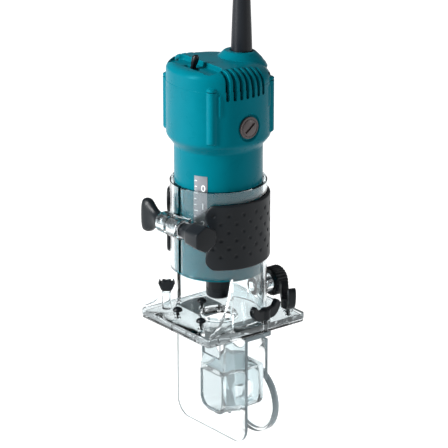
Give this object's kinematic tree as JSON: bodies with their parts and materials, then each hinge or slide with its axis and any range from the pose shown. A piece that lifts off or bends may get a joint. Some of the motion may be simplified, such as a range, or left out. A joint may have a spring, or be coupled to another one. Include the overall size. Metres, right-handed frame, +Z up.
{
  "type": "trim router",
  "caption": "Corded trim router: teal motor in a clear clamp base with rubber grip, wing knobs and a clear chip guard below the sole.",
  "frame": {"origin": "on the spindle axis, in the plane of the sole", "axes": "+Z up the tool along the spindle, -Y towards the clamp and switch side, +X towards the hex cap end of the clamp bolt"},
  "size_m": [0.0864, 0.4011, 0.4625],
  "materials": {
    "teal_plastic": "satin moulded teal nylon",
    "black_plastic": "satin black moulding",
    "brown_plastic": "dark brown phenolic",
    "clear_plastic": "clear polycarbonate",
    "rubber": "matte black rubber",
    "steel": "ground steel",
    "black_steel": "blackened steel",
    "lamination": "varnished steel laminations",
    "aluminium": "satin aluminium",
    "copper": "enamelled copper wire",
    "brass": "drawn brass",
    "carbon": "pressed carbon"
  },
  "bodies": {
    "base": {"base_plate": "clear_plastic", "base_wall": "clear_plastic", "base_protector": "clear_plastic", "rubber_grip": "rubber", "clamp_bolt": "steel", "clamp_washer_left": "steel", "clamp_washer_right": "steel", "clamp_hex_cap": "black_plastic", "guide_clamp_stud": "steel", "front_shield": "clear_plastic", "chip_duct": "clear_plastic", "rear_shield": "clear_plastic", "sole_screw_1": "black_steel", "sole_screw_2": "black_steel", "sole_screw_3": "black_steel", "sole_screw_4": "black_steel"},
    "motor_unit": {"motor_housing": "teal_plastic", "top_cover": "teal_plastic", "cord_guard": "rubber", "switch_body": "black_plastic", "brush_cap_right": "brown_plastic", "brush_cap_left": "brown_plastic", "brush_holder_right": "brass", "brush_holder_left": "brass", "carbon_brush_right": "carbon", "carbon_brush_left": "carbon", "brush_spring_right": "steel", "brush_spring_left": "steel", "field_core": "lamination", "field_coil_back": "copper", "field_coil_front": "copper", "lower_bearing": "steel", "upper_bearing": "steel", "bearing_bracket": "aluminium", "fan_baffle": "black_plastic", "depth_scale": "aluminium", "cord": "rubber", "cord_coil": "rubber", "plug_body": "black_plastic", "plug_pin_left": "brass", "plug_pin_right": "brass", "cover_screw_1": "black_steel", "cover_screw_2": "black_steel", "cover_screw_3": "black_steel", "cover_screw_4": "black_steel"},
    "rotor": {"armature_shaft": "steel", "armature_core": "lamination", "armature_winding_lower": "copper", "armature_winding_upper": "copper", "commutator": "copper", "cooling_fan": "black_plastic", "collet_nut": "black_steel", "collet_cone": "steel"},
    "switch_lever": {"switch_lever": "black_plastic"},
    "wing_knob": {"wing_knob": "black_plastic"},
    "guide_clamp_knob": {"guide_clamp_knob": "black_plastic"},
    "wing_screw_shield": {"wing_screw_shield": "black_plastic"},
    "wing_screw_guide": {"wing_screw_guide": "black_plastic"},
    "wing_screw_stop": {"wing_screw_stop": "black_plastic"}
  },
  "joints": [
    {"name": "depth_slide", "type": "slide", "parent": "base", "child": "motor_unit", "axis": [0, 0, 1], "range_m": [-0.0265, 0.03]},
    {"name": "spindle_spin", "type": "hinge", "parent": "motor_unit", "child": "rotor", "pos_m": [0, 0, 0.1], "axis": [0, 0, 1], "continuous": true},
    {"name": "switch_toggle", "type": "hinge", "parent": "motor_unit", "child": "switch_lever", "pos_m": [-0.0045, -0.021, 0.189], "axis": [0, -1, 0], "range_deg": [0, 40]},
    {"name": "clamp_turn", "type": "hinge", "parent": "base", "child": "wing_knob", "pos_m": [-0.02, -0.041, 0.0825], "axis": [1, 0, 0], "continuous": true},
    {"name": "guide_clamp_turn", "type": "hinge", "parent": "base", "child": "guide_clamp_knob", "pos_m": [0, 0.052, 0.019], "axis": [0, 1, 0], "continuous": true},
    {"name": "shield_screw_turn", "type": "hinge", "parent": "base", "child": "wing_screw_shield", "pos_m": [0.037, 0.014, 0.015], "axis": [0, 0, 1], "range_deg": [-5, 25]},
    {"name": "guide_screw_turn", "type": "hinge", "parent": "base", "child": "wing_screw_guide", "pos_m": [0.03, 0.041, 0.015], "axis": [0, 0, 1], "continuous": true},
    {"name": "stop_screw_turn", "type": "hinge", "parent": "base", "child": "wing_screw_stop", "pos_m": [-0.0285, -0.026, 0.025], "axis": [0, 0, 1], "continuous": true}
  ]
}
